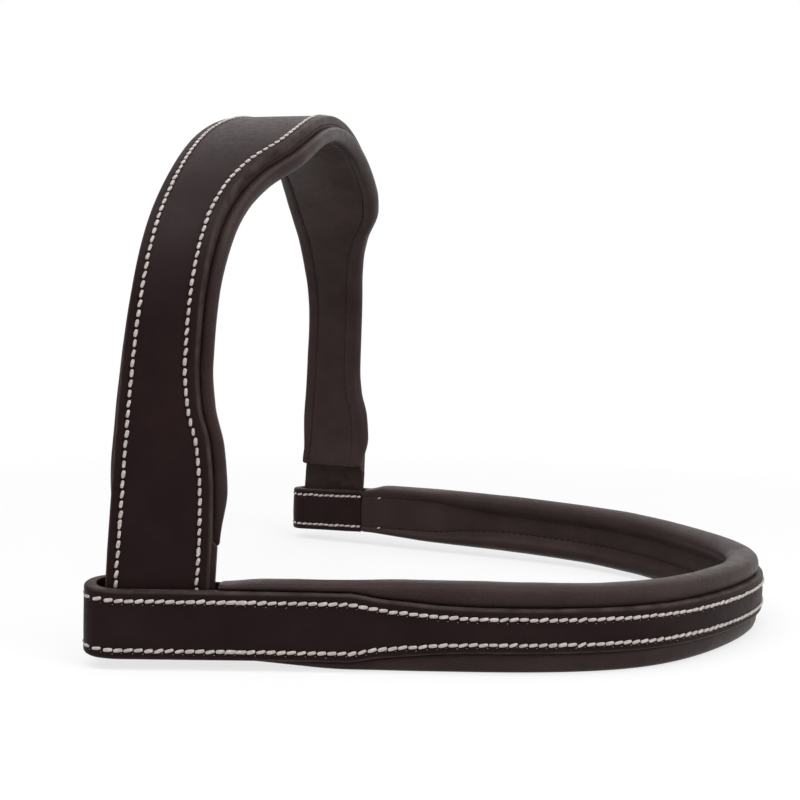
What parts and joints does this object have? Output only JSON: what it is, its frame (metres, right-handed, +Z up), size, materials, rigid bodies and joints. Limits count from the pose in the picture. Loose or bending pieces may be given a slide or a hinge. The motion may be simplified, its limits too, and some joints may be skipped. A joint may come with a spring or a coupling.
{
  "type": "bridle",
  "caption": "Padded bridle crown whose two legs stand in the folded end loops of a padded, stitched leather browband.",
  "frame": {"origin": "centre of the footprint, on the surface that the browband rests on", "axes": "+X to the middle of the forehead, +Y to the far side of the picture, +Z up to the poll"},
  "size_m": [0.1852, 0.202, 0.1615],
  "materials": {
    "strap_leather": "smooth, satin",
    "liner_leather": "soft, fine grain",
    "foam": "matt",
    "thread": "matt, twisted"
  },
  "bodies": {
    "browband": {"browband_face_strap": "strap_leather", "browband_liner": "liner_leather", "browband_foam": "foam", "browband_upper_roll_core": "foam", "browband_lower_roll_core": "foam"},
    "crown": {"crown_face_strap": "strap_leather", "crown_base_strap": "strap_leather", "crown_liner": "liner_leather", "crown_foam": "foam", "crown_front_roll_core": "foam"}
  },
  "joints": [
    {"name": "crown_slide", "type": "slide", "parent": "browband", "child": "crown", "axis": [0.0454, 0, 0.999], "range_m": [-0.0095, 0.014]}
  ]
}
